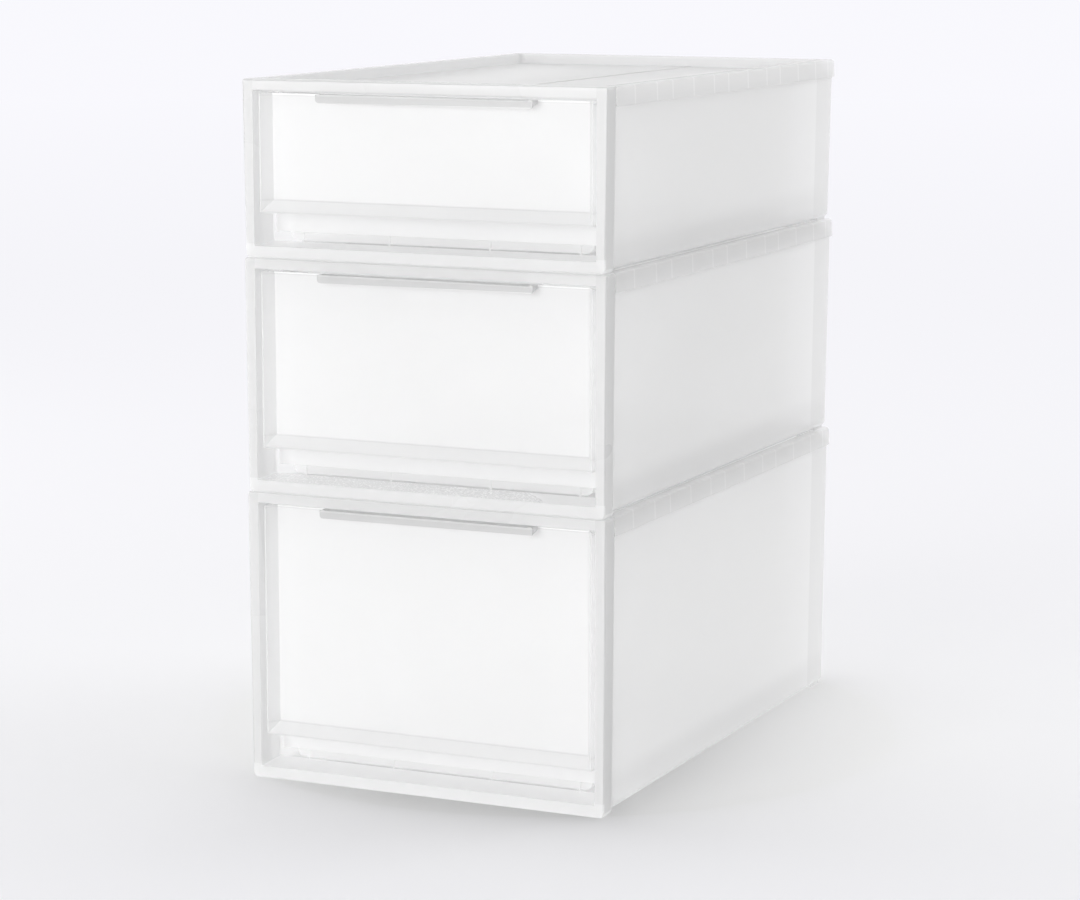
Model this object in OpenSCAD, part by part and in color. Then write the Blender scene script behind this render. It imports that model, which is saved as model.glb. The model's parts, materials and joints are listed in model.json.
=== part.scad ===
// Stack of three translucent storage cases, each with one pull-out drawer.
// Origin: centre of the footprint, on the surface the stack stands on. Front faces -Y, +Z is up.

/* [Stack] */
// Outer width of every case
box_w = 400; // [340:1:460]
// Outer depth of every case
box_d = 650; // [520:1:720]
// Height of the bottom case
bottom_h = 300; // [240:1:360]
// Height of the middle case
middle_h = 240; // [200:1:300]
// Height of the top case
top_h = 180; // [150:1:230]

/* [Front frame] */
// Width of the frame's side members, seen from the front
frame_side_w = 12; // [10:0.5:18]
// Height of the frame's top rail
frame_rail_h = 11; // [9:0.5:16]
// Height of the frame's sill at its front edge
frame_sill_h = 12.5; // [11:0.5:15]
// How much the sill rises towards the back
frame_sill_rise = 1.5; // [0:0.1:1.8]
// Depth of the frame's outer band
frame_band_d = 20; // [14:1:26]
// Depth of the inner sleeve at the sides and the sill
frame_sleeve_d = 40; // [30:1:50]
// Wall thickness of the frame
frame_wall = 2.2; // [1.6:0.1:2.6]
// How much narrower the frame is at its bottom, each side
frame_draft = 2; // [0:0.1:2.2]
// Radius of the frame's two bottom corners
frame_foot_r = 5; // [2:0.5:7]
// Radius of the frame's two top corners
frame_top_r = 2.5; // [1:0.5:3]

/* [Case body] */
// Wall thickness of the case body
body_wall = 2; // [1.4:0.1:2.2]
// Inset of the body wall from the outer width at its top
body_inset_top = 2.7; // [2.5:0.1:3]
// Inset of the body wall from the outer width at its bottom
body_inset_bottom = 5; // [4.6:0.1:5.2]
// Radius of the body's bottom edges and rear corners
body_corner_r = 6; // [4:0.5:9]
// Height of the rear feet pads
foot_h = 2.5; // [2.3:0.1:4]
// Width and length of a rear foot pad
foot_pad = [14, 24]; // [10:1:30]
// Thickness of the runner ribs on the floor
runner_t = 2.4; // [1.6:0.1:4]
// Distance of the inner runner ribs from the middle
runner_inner_x = 56; // [40:1:70]
// Distance of the outer runner ribs inwards from the drawer tub's sides
runner_outer_inset = 14; // [12:1:30]

/* [Top panel] */
// Depth of the sunk tray below the rim
tray_depth = 11.5; // [8:0.5:14]
// Thickness of the tray plate
tray_t = 2; // [1.4:0.1:3]
// Width of the hollow rim
rim_w = 11.5; // [10:0.5:16]
// Wall thickness of the rim and its skirt
rim_wall = 1.8; // [1.2:0.1:2]
// Height of the outer skirt
skirt_h = 19.5; // [16:0.5:26]
// How far the skirt flares outwards at its lower edge
skirt_flare = 0.6; // [0:0.1:0.6]
// Radius of the rim's rear corners
rim_corner_r = 8; // [6:0.5:14]
// Thickness of the cross ribs in the rim
rim_rib_t = 1.6; // [1:0.1:2.4]
// Long spacing of the cross ribs along the sides
rim_rib_long = 56; // [44:1:70]
// Short spacing of the cross ribs along the sides
rim_rib_short = 40.5; // [30:0.5:44]
// First cross rib behind the frame
rim_rib_start = 48; // [30:1:60]
// Width of the low raised strip along the middle of the tray
tray_strip_w = 54; // [30:1:80]
// Height of the low raised strip
tray_strip_h = 0.8; // [0.4:0.1:1.5]

/* [Drawer] */
// Clearance between the frame opening and the drawer front, each side
front_gap = 5; // [3:0.5:7]
// Setback of the drawer front's foremost edge from the frame's face
front_setback = 4; // [2:0.5:8]
// Depth of the sunk panel behind the foremost edge
panel_recess = 12.5; // [9:0.5:16]
// Width of the bevels at the sides of the sunk panel
side_bevel_w = 7.5; // [5:0.5:12]
// Height of the foremost lower edge above the case's underside
ledge_z = 45.5; // [40:0.5:52]
// Height of the bevel above the foremost lower edge
ledge_bevel_h = 11.5; // [8:0.5:16]
// Height of the apron's lower edge above the case's underside
apron_z = 24; // [20:0.5:30]
// Wall thickness of the drawer front
front_wall = 2.2; // [1.6:0.1:2.6]
// Width of the pull lip
lip_w = 238; // [160:1:280]
// Height of the pull lip's front wall
lip_h = 6; // [5:0.5:9]
// Depth of the pull lip's top plate
lip_d = 24; // [18:1:30]
// Gap between the drawer front's top and the underside of the tray
drawer_head_gap = 1.1; // [0.8:0.1:3]
// Wall thickness of the drawer tub
tub_wall = 2; // [1.4:0.1:2.6]
// Distance of the tub's side walls from the frame opening at the tub's bottom
tub_side_inset = 20; // [18:0.5:26]
// How much wider the tub is at its top, each side
tub_draft = 2; // [0:0.1:3]
// Radius of the tub's bottom edges and rear corners
tub_edge_r = 8; // [4:0.5:14]
// Depth of the space left behind the tub
tub_rear_space = 60; // [30:1:90]
// Height of the tub's rim below the underside of the tray
tub_rim_drop = 7.5; // [6.5:0.5:14]
// Height of the rim's turned-down edge
tub_rim_edge_h = 8; // [5:0.5:12]
// Distance that the drawer slides out
drawer_travel = 470; // [300:5:480]

/* [Fits] */
// Gap between the drawer's sliding faces and the rails that guide them
slide_clear = 0.4; // [0.2:0.1:0.8]
// Gap between mouldings that slip into each other
fit_clear = 0.3; // [0.2:0.1:0.5]

/* [Hidden] */
$fn = 48;
// Thickness of the thin layers that hulls are spanned between
sliver = 0.01;
// Overshoot of cutting volumes past the faces they open
cut = 1;

// Heights at which the cases stand
bottom_z = 0;
middle_z = bottom_z + bottom_h;
top_z = middle_z + middle_h;

// Planes across the depth
front_y = -box_d / 2;
back_y = box_d / 2;
band_y = front_y + frame_band_d;
sleeve_y = front_y + frame_sleeve_d;

// Half width of the frame's opening
opening_x = box_w / 2 - frame_side_w;
// Half width of the drawer front
front_x = opening_x - front_gap;
// Half width of the tub at its bottom and at its top
tub_x = opening_x - tub_side_inset;
tub_top_x = tub_x + tub_draft;
// Distance of the outer runner ribs from the middle
runner_outer_x = tub_x - runner_outer_inset;
// Half width across the tub's rim flanges
tub_rim_x = opening_x - slide_clear - fit_clear / 3;

// Heights above the underside of a case
tub_sill_gap = 1.5;
floor_top = foot_h + body_wall;
sill_top = frame_sill_h + frame_sill_rise;
tub_z = sill_top + tub_sill_gap;
runner_h = tub_z - slide_clear / 2 - floor_top;

// Drawer planes across the depth
edge_y = front_y + front_setback;
panel_y = edge_y + panel_recess;
apron_y = sleeve_y - front_wall;
tub_y = sleeve_y + 1;
tub_back_y = back_y - tub_rear_space;

// Distances below the top of a case
tray_drop = tray_depth + tray_t;
front_drop = tray_drop + drawer_head_gap;
rim_drop = tray_drop + tub_rim_drop;

// Stop bar and the lug that meets it
lug_head_gap = 1.5;
lug_h = tub_rim_drop - lug_head_gap;
lug_t = 4;
lug_w = 90;
lug_root_h = 14;
bar_w = 130;
bar_t = 3;
bar_drop = rim_drop - 2;
stop_y = tub_back_y - lug_t - drawer_travel;

// ---- shared outlines ----

// Rectangle from the front plane to a rear edge with round rear corners
module rear_round_outline(half_w, y0, y1, r) {
    union() {
        translate([-half_w, y0]) square([2 * half_w, y1 - y0 - r]);
        translate([-half_w + r, y0]) square([2 * (half_w - r), y1 - y0]);
        for (side = [-1, 1])
            translate([side * (half_w - r), y1 - r]) circle(r);
    }
}

// Block whose half width and rear edge change evenly from its bottom to its top
module drafted_block(half_low, half_high, y0, back_low, back_high, z0, z1, r) {
    hull() {
        translate([0, 0, z0])
            linear_extrude(sliver) rear_round_outline(half_low, y0, back_low, r, $fn = 32);
        translate([0, 0, z1 - sliver])
            linear_extrude(sliver) rear_round_outline(half_high, y0, back_high, r, $fn = 32);
    }
}

// Moulded tray volume, open-ended at the front plane: its walls lean outwards, its bottom edges
// and its rear corners are round
module moulded_block(low_x, high_x, front, low_back, high_back, low_z, high_z, r) {
    hull() {
        for (side = [-1, 1]) {
            translate([side * (low_x - r), front, low_z + r])
                rotate([-90, 0, 0]) cylinder(r1 = r, r2 = r / 2, h = r, $fn = 32);
            translate([side * (low_x - r), low_back - r, low_z + r])
                round_corner(r);
            translate([side * (high_x - r), high_back - r, high_z - r])
                cylinder(r1 = r / 2, r2 = r, h = r, $fn = 32);
            // A point in each upper front corner
            translate([side * high_x, front, high_z])
                rotate([-135, 0, side * 45]) cylinder(r1 = 0, r2 = sliver, h = 1, $fn = 8);
        }
    }
}

// Lower half of a ball, whose facets line up with those of the round edges that run into it
module round_corner(r) {
    steps = 8;
    for (i = [0 : steps - 1])
        translate([0, 0, -r * sin(i * 90 / steps)])
            cylinder(r1 = r * cos(i * 90 / steps), r2 = 0, h = r / 2, $fn = 4 * steps);
    translate([0, 0, -r])
        cylinder(r1 = 0, r2 = sliver, h = r / 2, $fn = 4 * steps);
}

// Prism along X from an outline drawn as [y, z] points
module prism_x(points, x0, x1) {
    translate([x0, 0, 0])
        rotate([90, 0, 90])
            linear_extrude(x1 - x0) polygon(points);
}

// Prism along Y from an outline drawn in X and Z
module prism_y(y0, y1) {
    translate([0, y1, 0])
        rotate([90, 0, 0])
            linear_extrude(y1 - y0) children();
}

// ---- case body ----

module case_body(h) {
    wall_top = h - tray_depth - fit_clear;
    low_x = box_w / 2 - body_inset_bottom;
    high_x = box_w / 2 - body_inset_top;
    low_y = back_y - body_inset_bottom;
    high_y = back_y - body_inset_top;
    mouth_y = front_y + frame_wall + fit_clear;
    color([0.90, 0.91, 0.92, 0.55]) {
        difference() {
            moulded_block(low_x, high_x, mouth_y, low_y, high_y, foot_h, wall_top, body_corner_r);
            // Inside, open at the front and at the top
            moulded_block(low_x - body_wall, high_x - body_wall, mouth_y - cut, low_y - body_wall,
                high_y - body_wall, floor_top, wall_top + cut, body_corner_r - body_wall);
        }
        runner_ribs();
        rear_feet();
    }
}

// Ribs on the floor that carry the drawer, with a rear stop on the outer pair
module runner_ribs() {
    rib_len = tub_back_y - sleeve_y - fit_clear;
    stop_len = 12;
    stop_h = tub_edge_r + 6;
    for (x = [-runner_outer_x, -runner_inner_x, runner_inner_x, runner_outer_x])
        translate([x - runner_t / 2, sleeve_y + fit_clear, floor_top - body_wall / 2])
            cube([runner_t, rib_len, runner_h + body_wall / 2]);
    for (x = [-runner_outer_x, runner_outer_x])
        translate([x - runner_t / 2, tub_back_y + fit_clear, floor_top - body_wall / 2])
            cube([runner_t, stop_len, runner_h + stop_h]);
}

// Low pads under the rear corners, which stand on the rim of the case below
module rear_feet() {
    pad_x = box_w / 2 - body_inset_bottom - body_corner_r / 2 - foot_pad[0];
    pad_y = back_y - body_inset_bottom - body_corner_r - foot_pad[1];
    for (side = [0, 1])
        mirror([side, 0, 0])
            translate([pad_x, pad_y, 0])
                cube([foot_pad[0], foot_pad[1], foot_h + body_wall * 0.75]);
}

// ---- front frame ----

// Face outline of the frame, drawn in X and Z: wider at the top, with round corners
module frame_outline(h, inset) {
    half_top = box_w / 2 - inset;
    half_foot = box_w / 2 - frame_draft - inset;
    least_r = 0.6;
    foot_r = max(frame_foot_r - inset, least_r);
    top_r = max(frame_top_r - inset, least_r);
    hull() {
        for (side = [-1, 1]) {
            translate([side * (half_foot - foot_r), inset + foot_r]) circle(foot_r);
            translate([side * (half_top - top_r), h - inset - top_r]) circle(top_r);
        }
    }
}

module front_frame(h) {
    rail_z = h - frame_rail_h;
    sleeve_z = floor_top + fit_clear;
    color([0.94, 0.95, 0.95, 0.85])
    difference() {
        union() {
            // Outer band with its face
            difference() {
                frame_band(h);
                // Channel behind the face, open to the back
                prism_y(front_y + frame_wall, band_y + cut) frame_outline(h, frame_wall);
            }
            // Side sleeves, which stop below the top panel behind the band
            for (side = [0, 1])
                mirror([side, 0, 0])
                    prism_x([[front_y + frame_wall / 2, sleeve_z], [sleeve_y, sleeve_z],
                            [sleeve_y, h - tray_drop - fit_clear],
                            [band_y - fit_clear, h - tray_drop - fit_clear],
                            [band_y - fit_clear, rail_z + frame_wall / 2],
                            [front_y + frame_wall / 2, rail_z + frame_wall / 2]],
                        opening_x, opening_x + frame_wall);
            // Sill, rising to the back
            prism_x([[front_y + frame_wall / 2, frame_sill_h - frame_wall],
                    [front_y + frame_wall / 2, frame_sill_h],
                    [front_y + frame_wall, frame_sill_h],
                    [sleeve_y, sill_top],
                    [sleeve_y, sill_top - frame_wall]],
                -opening_x - frame_wall / 2, opening_x + frame_wall / 2);
            // Underside of the top rail
            translate([-opening_x - frame_wall, front_y + frame_wall / 2, rail_z])
                cube([2 * (opening_x + frame_wall), frame_band_d - frame_wall / 2, frame_wall]);
            frame_webs(h);
        }
        // Opening through the face
        translate([-opening_x, front_y - cut, frame_sill_h])
            cube([2 * opening_x, frame_wall + cut, rail_z - frame_sill_h]);
    }
}

// Outer band with its front edges broken all round
module frame_band(h) {
    edge = 1.2;
    hull() {
        prism_y(front_y + edge, band_y) frame_outline(h, 0);
        prism_y(front_y, front_y + sliver) frame_outline(h, edge);
    }
}

// Stiffening webs inside the top rail and under the sill
module frame_webs(h) {
    web_t = frame_wall * 0.8;
    web_d = frame_band_d - 4;
    web_pitch = box_w / 5;
    for (i = [-2 : 2]) {
        translate([i * web_pitch - web_t / 2, front_y + frame_wall / 2, h - frame_rail_h + frame_wall / 2])
            cube([web_t, web_d, frame_rail_h - frame_wall]);
        translate([i * web_pitch - web_t / 2, front_y + frame_wall / 2, floor_top + fit_clear])
            cube([web_t, web_d, frame_sill_h - floor_top - fit_clear - frame_wall / 2]);
    }
}

// ---- top panel ----

module top_panel(h) {
    color([0.92, 0.93, 0.94, 0.6]) {
        translate([0, 0, h]) {
            rim_shell();
            tray_plate();
            rim_ribs();
            guide_rails();
            stop_bar();
        }
    }
}

// Outer half width and rear edge of the rim at its top
rim_x = box_w / 2 - skirt_flare;
rim_y = back_y - skirt_flare;

// Hollow rim: skirt outside, flange on top, inner wall down to the tray
module rim_shell() {
    inner_x = rim_x - rim_w;
    inner_y = rim_y - rim_w;
    difference() {
        rim_body();
        // Hollow below the flange
        drafted_block(box_w / 2 - rim_wall, rim_x - rim_wall, band_y + rim_wall,
            back_y - rim_wall, rim_y - rim_wall, -skirt_h - cut, -rim_wall,
            rim_corner_r - rim_wall);
    }
    difference() {
        translate([0, 0, -tray_drop])
            linear_extrude(tray_drop - rim_wall / 2)
                rear_round_outline(inner_x + rim_wall, band_y, inner_y + rim_wall, rim_corner_r);
        translate([0, 0, -tray_drop - cut])
            linear_extrude(tray_drop + 2 * cut)
                rear_round_outline(inner_x, band_y + rim_wall, inner_y, rim_corner_r - rim_wall);
    }
}

// Outside of the rim with its flare and its broken top edge, without the tray well
module rim_body() {
    edge = 2;
    bevel = edge * 0.3;
    well_x = rim_x - rim_w;
    well_y = rim_y - rim_w;
    difference() {
        hull() {
            translate([0, 0, -skirt_h])
                linear_extrude(sliver)
                    rear_round_outline(box_w / 2, band_y, back_y, rim_corner_r, $fn = 32);
            translate([0, 0, -edge])
                linear_extrude(sliver) rear_round_outline(rim_x, band_y, rim_y, rim_corner_r, $fn = 32);
            translate([0, 0, -bevel])
                linear_extrude(sliver)
                    rear_round_outline(rim_x - bevel, band_y, rim_y - bevel, rim_corner_r, $fn = 32);
            translate([0, 0, -sliver])
                linear_extrude(sliver)
                    rear_round_outline(rim_x - edge, band_y, rim_y - edge, rim_corner_r, $fn = 32);
        }
        translate([0, 0, -skirt_h - cut])
            linear_extrude(skirt_h + 2 * cut)
                rear_round_outline(well_x, band_y + rim_wall, well_y, rim_corner_r - rim_wall);
        // The front end below the flange is open for the frame
        translate([-box_w / 2 - cut, band_y - cut, -skirt_h - cut])
            cube([box_w + 2 * cut, rim_wall + fit_clear + cut, skirt_h + cut - tray_depth]);
    }
}

// Sunk plate with a low raised strip along its middle
module tray_plate() {
    translate([0, 0, -tray_drop])
        linear_extrude(tray_t)
            rear_round_outline(rim_x - rim_w + rim_wall / 2, band_y + rim_wall / 2,
                rim_y - rim_w + rim_wall / 2, rim_corner_r - rim_wall);
    translate([-tray_strip_w / 2, band_y + rim_wall / 2, -tray_depth - tray_t / 2])
        cube([tray_strip_w, rim_y - rim_w - band_y, tray_t / 2 + tray_strip_h]);
}

// Cross ribs that bridge the hollow rim from its inner wall to its skirt
module rim_ribs() {
    rib_x = rim_x - rim_w + rim_wall / 2;
    rib_w = rim_w - rim_wall;
    rib_z = -tray_depth;
    rib_h = tray_depth - rim_wall / 2;
    pitch = rim_rib_short + 2 * rim_rib_long;
    last_y = rim_y - rim_w;
    for (start = [0 : pitch : box_d], step = [0, rim_rib_long, rim_rib_long + rim_rib_short])
        if (band_y + rim_rib_start + start + step < last_y)
            for (side = [0, 1])
                mirror([side, 0, 0])
                    translate([rib_x, band_y + rim_rib_start + start + step - rim_rib_t / 2, rib_z])
                        cube([rib_w, rim_rib_t, rib_h]);
    // Along the back the long and short spaces run outwards from the middle
    for (side = [-1, 1], x = [rim_rib_short / 2, rim_rib_short * 1.5, rim_rib_short * 1.5 + rim_rib_long,
            rim_rib_short * 2.5 + rim_rib_long])
        if (x < rim_x - rim_w)
            translate([side * x - rim_rib_t / 2, rim_y - rim_w + rim_wall / 2, rib_z])
                cube([rim_rib_t, rib_w, rib_h]);
}

// Rails under the tray: the outer pair guides the drawer's rim, the inner pair holds it down
module guide_rails() {
    rail_t = rim_wall;
    rail_side_gap = 1.2;
    rail_front_gap = 4;
    rail_y0 = sleeve_y + rail_front_gap;
    rail_len = rim_y - rim_w - rail_y0;
    outer_h = rim_drop + tub_rim_edge_h / 2 - tray_drop;
    inner_x = (tub_top_x + tub_rim_x) / 2;
    inner_h = rim_drop - tray_drop - slide_clear;
    for (side = [0, 1])
        mirror([side, 0, 0]) {
            translate([tub_rim_x + rail_side_gap, rail_y0, -tray_drop - outer_h])
                cube([rail_t, rail_len, outer_h + tray_t / 2]);
            translate([inner_x - rail_t / 2, rail_y0, -tray_drop - inner_h])
                cube([rail_t, rail_len, inner_h + tray_t / 2]);
        }
}

// Bar under the tray that stops the pulled-out drawer
module stop_bar() {
    translate([-bar_w / 2, stop_y - bar_t, -bar_drop])
        cube([bar_w, bar_t, bar_drop - tray_drop + tray_t / 2]);
}

// ---- drawer tub ----

module drawer_tub(h) {
    rim_z = h - rim_drop;
    color([0.93, 0.94, 0.95, 0.5]) {
        difference() {
            tub_block(rim_z, 0);
            tub_block(rim_z, tub_wall);
        }
        tub_rim(rim_z);
        front_wings(rim_z);
        front_ribs();
        stop_lug(rim_z);
    }
}

// Tub volume, shrunk by a wall where its inside is wanted
module tub_block(rim_z, inset) {
    above = inset > 0 ? cut : 0;
    moulded_block(tub_x - inset, tub_top_x - inset, tub_y + inset, tub_back_y - tub_draft - inset,
        tub_back_y - inset, tub_z + inset, rim_z + above, tub_edge_r - inset);
}

// Flanges along the sides with turned-down edges
module tub_rim(rim_z) {
    lip_t = tub_wall;
    for (side = [0, 1])
        mirror([side, 0, 0]) {
            translate([tub_top_x - tub_wall, tub_y, rim_z - lip_t])
                cube([tub_rim_x - tub_top_x + tub_wall, tub_back_y - tub_y - tub_edge_r, lip_t]);
            translate([tub_rim_x - lip_t, tub_y, rim_z - tub_rim_edge_h])
                cube([lip_t, tub_back_y - tub_y - tub_edge_r, tub_rim_edge_h]);
        }
}

// Wings beside the tub's front wall, which back the sides of the drawer front
module front_wings(rim_z) {
    wing_z = ledge_z + front_wall;
    for (side = [0, 1])
        mirror([side, 0, 0])
            translate([tub_x - tub_wall, tub_y, wing_z])
                cube([front_x - tub_x + tub_wall, tub_wall, rim_z - wing_z]);
}

// Short upright ribs below the apron, in line with the runner ribs
module front_ribs() {
    stand = 0.9;
    foot_z = tub_z + tub_edge_r * 0.1;
    head_z = apron_z - 0.5;
    for (x = [-runner_outer_x, -runner_inner_x, runner_inner_x, runner_outer_x])
        translate([x - tub_wall / 2, tub_y - stand, foot_z])
            cube([tub_wall, stand + tub_wall / 4, head_z - foot_z]);
}

// Lug on the back wall that meets the stop bar
module stop_lug(rim_z) {
    translate([-lug_w / 2, tub_back_y - lug_t, rim_z - lug_root_h])
        cube([lug_w, lug_t, lug_root_h + lug_h]);
}

// ---- drawer front ----

module drawer_front(h) {
    top_z = h - front_drop;
    color([0.96, 0.97, 0.98, 0.5]) {
        difference() {
            union() {
                // Return walls at both sides and below
                difference() {
                    translate([-front_x, edge_y, ledge_z])
                        cube([2 * front_x, tub_y - edge_y, top_z - ledge_z]);
                    translate([-front_x + front_wall, edge_y - cut, ledge_z + front_wall])
                        cube([2 * (front_x - front_wall), tub_y - edge_y + 2 * cut, top_z]);
                }
                // Bevels and panel
                intersection() {
                    translate([-front_x, edge_y, ledge_z])
                        cube([2 * front_x, tub_y - edge_y, top_z - ledge_z]);
                    panel_well(top_z, front_wall);
                }
            }
            panel_well(top_z, 0);
        }
        panel_rim(top_z);
        apron();
        pull_lip(top_z);
    }
}

// Well in front of the sunk panel, grown by a wall where its outside is wanted
module panel_well(top_z, wall) {
    land = 1.2;
    side_grow = wall * sqrt(pow(side_bevel_w, 2) + pow(panel_recess, 2)) / panel_recess;
    low_grow = wall * sqrt(pow(ledge_bevel_h, 2) + pow(panel_recess, 2)) / panel_recess;
    x_front = front_x - land + side_grow;
    x_back = front_x - land - side_bevel_w + side_grow;
    z_front = ledge_z + land - low_grow;
    z_back = ledge_z + land + ledge_bevel_h - low_grow;
    deep_y = panel_y + wall;
    slope_x = side_bevel_w / panel_recess;
    slope_z = ledge_bevel_h / panel_recess;
    intersection() {
        translate([0, 0, z_front - ledge_bevel_h])
            linear_extrude(top_z)
                polygon([[-x_front - cut * slope_x, edge_y - cut], [x_front + cut * slope_x, edge_y - cut],
                    [x_back - wall * slope_x, deep_y], [-x_back + wall * slope_x, deep_y]]);
        prism_x([[edge_y - cut, z_front - cut * slope_z], [deep_y, z_back + wall * slope_z],
                [deep_y, top_z + cut], [edge_y - cut, top_z + cut]],
            -front_x - front_gap, front_x + front_gap);
    }
}

// Bead along the top edge of the sunk panel
module panel_rim(top_z) {
    bead_h = 2.4;
    bead_d = 4;
    translate([-front_x, panel_y, top_z - bead_h])
        cube([2 * front_x, bead_d, bead_h]);
}

// Lower apron, set back under the ledge
module apron() {
    translate([-front_x, apron_y, apron_z])
        cube([2 * front_x, front_wall, ledge_z - apron_z + front_wall]);
}

// Pull lip: top plate, rounded front wall and two sloping cheeks
module pull_lip(top_z) {
    corner_r = 3.5;
    translate([-lip_w / 2, edge_y, top_z - front_wall])
        cube([lip_w, lip_d, front_wall]);
    prism_y(edge_y, edge_y + front_wall) {
        translate([-lip_w / 2, top_z - lip_h + corner_r])
            square([lip_w, lip_h - corner_r]);
        translate([-lip_w / 2 + corner_r, top_z - lip_h])
            square([lip_w - 2 * corner_r, lip_h]);
        for (side = [-1, 1])
            translate([side * (lip_w / 2 - corner_r), top_z - lip_h + corner_r])
                circle(corner_r);
    }
    for (x = [-lip_w / 2, lip_w / 2 - front_wall])
        prism_x([[edge_y + front_wall / 2, top_z - lip_h + corner_r * 0.6],
                [edge_y + front_wall / 2, top_z],
                [panel_y + front_wall / 2, top_z],
                [panel_y + front_wall / 2, top_z - front_wall * 1.6]],
            x, x + front_wall);
}

// ---- the fifteen pieces ----

module bottom_case_body() { translate([0, 0, bottom_z]) case_body(bottom_h); }
module bottom_top_panel() { translate([0, 0, bottom_z]) top_panel(bottom_h); }
module bottom_front_frame() { translate([0, 0, bottom_z]) front_frame(bottom_h); }
module bottom_drawer_tub() { translate([0, 0, bottom_z]) drawer_tub(bottom_h); }
module bottom_drawer_front() { translate([0, 0, bottom_z]) drawer_front(bottom_h); }
module middle_case_body() { translate([0, 0, middle_z]) case_body(middle_h); }
module middle_top_panel() { translate([0, 0, middle_z]) top_panel(middle_h); }
module middle_front_frame() { translate([0, 0, middle_z]) front_frame(middle_h); }
module middle_drawer_tub() { translate([0, 0, middle_z]) drawer_tub(middle_h); }
module middle_drawer_front() { translate([0, 0, middle_z]) drawer_front(middle_h); }
module top_case_body() { translate([0, 0, top_z]) case_body(top_h); }
module top_top_panel() { translate([0, 0, top_z]) top_panel(top_h); }
module top_front_frame() { translate([0, 0, top_z]) front_frame(top_h); }
module top_drawer_tub() { translate([0, 0, top_z]) drawer_tub(top_h); }
module top_drawer_front() { translate([0, 0, top_z]) drawer_front(top_h); }

bottom_case_body();
bottom_top_panel();
bottom_front_frame();
bottom_drawer_tub();
bottom_drawer_front();
middle_case_body();
middle_top_panel();
middle_front_frame();
middle_drawer_tub();
middle_drawer_front();
top_case_body();
top_top_panel();
top_front_frame();
top_drawer_tub();
top_drawer_front();
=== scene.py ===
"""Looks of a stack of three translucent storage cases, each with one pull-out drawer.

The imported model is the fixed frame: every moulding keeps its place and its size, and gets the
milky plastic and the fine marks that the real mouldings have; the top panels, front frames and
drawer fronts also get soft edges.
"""

from __future__ import annotations

import json
import logging
import math
from collections.abc import Callable
from dataclasses import dataclass, field
from enum import Enum

import bmesh
import bpy
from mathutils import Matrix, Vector

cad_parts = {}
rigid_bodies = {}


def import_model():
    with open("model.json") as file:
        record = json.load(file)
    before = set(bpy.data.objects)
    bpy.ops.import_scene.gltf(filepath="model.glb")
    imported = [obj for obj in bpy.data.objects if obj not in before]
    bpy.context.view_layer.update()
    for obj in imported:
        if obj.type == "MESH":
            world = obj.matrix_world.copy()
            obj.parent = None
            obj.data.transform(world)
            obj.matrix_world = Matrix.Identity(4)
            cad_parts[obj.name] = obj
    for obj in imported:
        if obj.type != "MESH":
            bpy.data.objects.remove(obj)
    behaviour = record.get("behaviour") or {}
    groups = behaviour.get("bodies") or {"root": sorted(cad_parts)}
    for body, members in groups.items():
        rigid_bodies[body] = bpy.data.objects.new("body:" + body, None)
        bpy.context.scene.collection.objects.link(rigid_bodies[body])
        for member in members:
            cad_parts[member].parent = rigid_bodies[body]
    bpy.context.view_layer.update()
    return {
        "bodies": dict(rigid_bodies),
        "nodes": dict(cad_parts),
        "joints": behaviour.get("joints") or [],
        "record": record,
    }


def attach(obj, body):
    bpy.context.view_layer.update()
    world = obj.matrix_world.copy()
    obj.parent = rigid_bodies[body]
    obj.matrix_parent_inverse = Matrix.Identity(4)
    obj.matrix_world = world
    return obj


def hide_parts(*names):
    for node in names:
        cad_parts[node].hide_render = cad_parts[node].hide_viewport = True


LOG = logging.getLogger("drawer_stack")
MM = 0.001
Tone = tuple[float, float, float]


class Tier(Enum):
    """The three cases of the stack, from the floor up."""

    BOTTOM = "bottom"
    MIDDLE = "middle"
    TOP = "top"


class Moulding(Enum):
    """The five mouldings that each case is made of."""

    CASE_BODY = "case_body"
    TOP_PANEL = "top_panel"
    FRONT_FRAME = "front_frame"
    DRAWER_TUB = "drawer_tub"
    DRAWER_FRONT = "drawer_front"


def node_name(tier: Tier, moulding: Moulding) -> str:
    """Name of the CAD node that holds a moulding of a case."""
    return f"{tier.value}_{moulding.value}"


# ---------------------------------------------------------------- shader groups


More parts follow.
